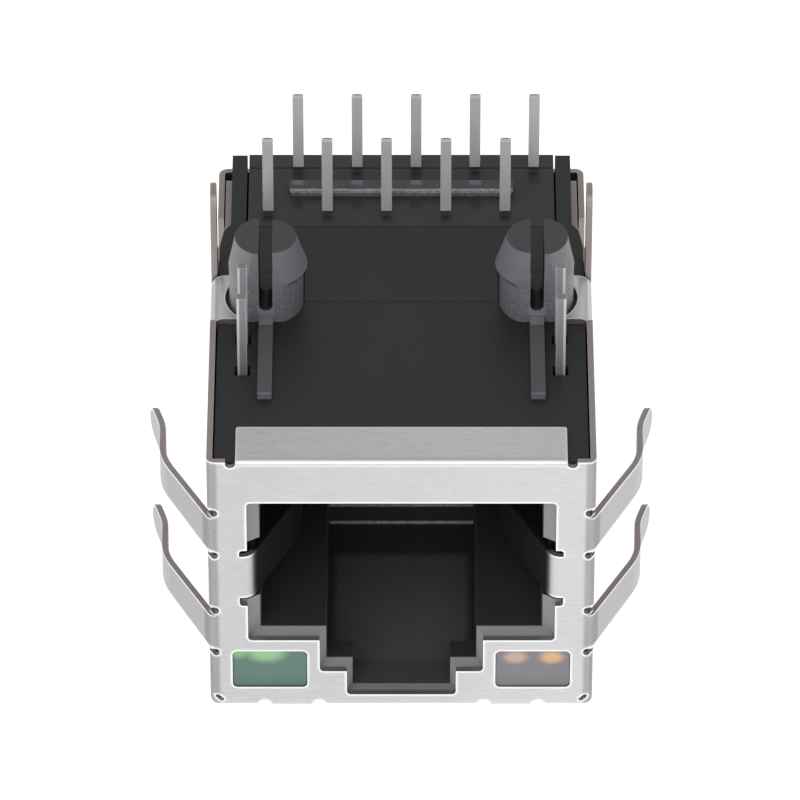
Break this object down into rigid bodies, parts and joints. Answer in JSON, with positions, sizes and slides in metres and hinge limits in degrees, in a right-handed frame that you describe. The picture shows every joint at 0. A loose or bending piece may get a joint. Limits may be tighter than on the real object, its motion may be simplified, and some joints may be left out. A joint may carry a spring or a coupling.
{
  "type": "shielded modular jack with magnetics",
  "caption": "Shielded modular network socket for a circuit board, with snap posts, solder pins, earthing fingers and indicator lamps beside its latch slot.",
  "frame": {"origin": "on the board seat plane, midway between the two snap posts", "axes": "+Z points towards the circuit board that the jack is soldered to, so the posts and pins point up and the wall opposite the board faces down; -Y points out of the plug port, so the plug goes in along +Y; +X is to the right when looking into the port with the board side up"},
  "size_m": [0.0212, 0.0213, 0.0187],
  "materials": {
    "shield_sheet": "fine brushed tinned sheet, bright sheared edges",
    "black_moulding": "fine satin moulded, black",
    "insert_moulding": "fine satin moulded, black",
    "case_moulding": "fine satin moulded, black",
    "pin_metal": "bright tin",
    "lead_metal": "dull tin",
    "green_lens": "tinted and cloudy, slightly clear",
    "amber_lens": "smoky grey, slightly clear",
    "contact_metal": "bright gold",
    "board_laminate": "green solder mask",
    "ferrite": "matt dark ferrite",
    "winding_wire": "enamelled copper wire",
    "chip_body": "fired ceramic with tinned ends"
  },
  "bodies": {
    "root": {"amber_lead_front": "lead_metal", "amber_lead_rear": "lead_metal", "amber_led": "amber_lens", "board_pin_1": "pin_metal", "board_pin_10": "pin_metal", "board_pin_2": "pin_metal", "board_pin_3": "pin_metal", "board_pin_4": "pin_metal", "board_pin_5": "pin_metal", "board_pin_6": "pin_metal", "board_pin_7": "pin_metal", "board_pin_8": "pin_metal", "board_pin_9": "pin_metal", "chip_capacitor": "chip_body", "chip_resistor_1": "chip_body", "chip_resistor_2": "chip_body", "chip_resistor_3": "chip_body", "chip_resistor_4": "chip_body", "choke_core_1": "ferrite", "choke_core_2": "ferrite", "choke_core_3": "ferrite", "choke_core_4": "ferrite", "choke_winding_1": "winding_wire", "choke_winding_2": "winding_wire", "choke_winding_3": "winding_wire", "choke_winding_4": "winding_wire", "contact_insert": "insert_moulding", "contact_wire_1": "contact_metal", "contact_wire_2": "contact_metal", "contact_wire_3": "contact_metal", "contact_wire_4": "contact_metal", "contact_wire_5": "contact_metal", "contact_wire_6": "contact_metal", "contact_wire_7": "contact_metal", "contact_wire_8": "contact_metal", "front_housing": "black_moulding", "front_shield": "shield_sheet", "green_lead_front": "lead_metal", "green_lead_rear": "lead_metal", "green_led": "green_lens", "inner_circuit_board": "board_laminate", "magnetics_case": "case_moulding", "rear_cover": "shield_sheet", "transformer_core_1": "ferrite", "transformer_core_2": "ferrite", "transformer_core_3": "ferrite", "transformer_core_4": "ferrite", "transformer_winding_1": "winding_wire", "transformer_winding_2": "winding_wire", "transformer_winding_3": "winding_wire", "transformer_winding_4": "winding_wire"}
  },
  "joints": []
}
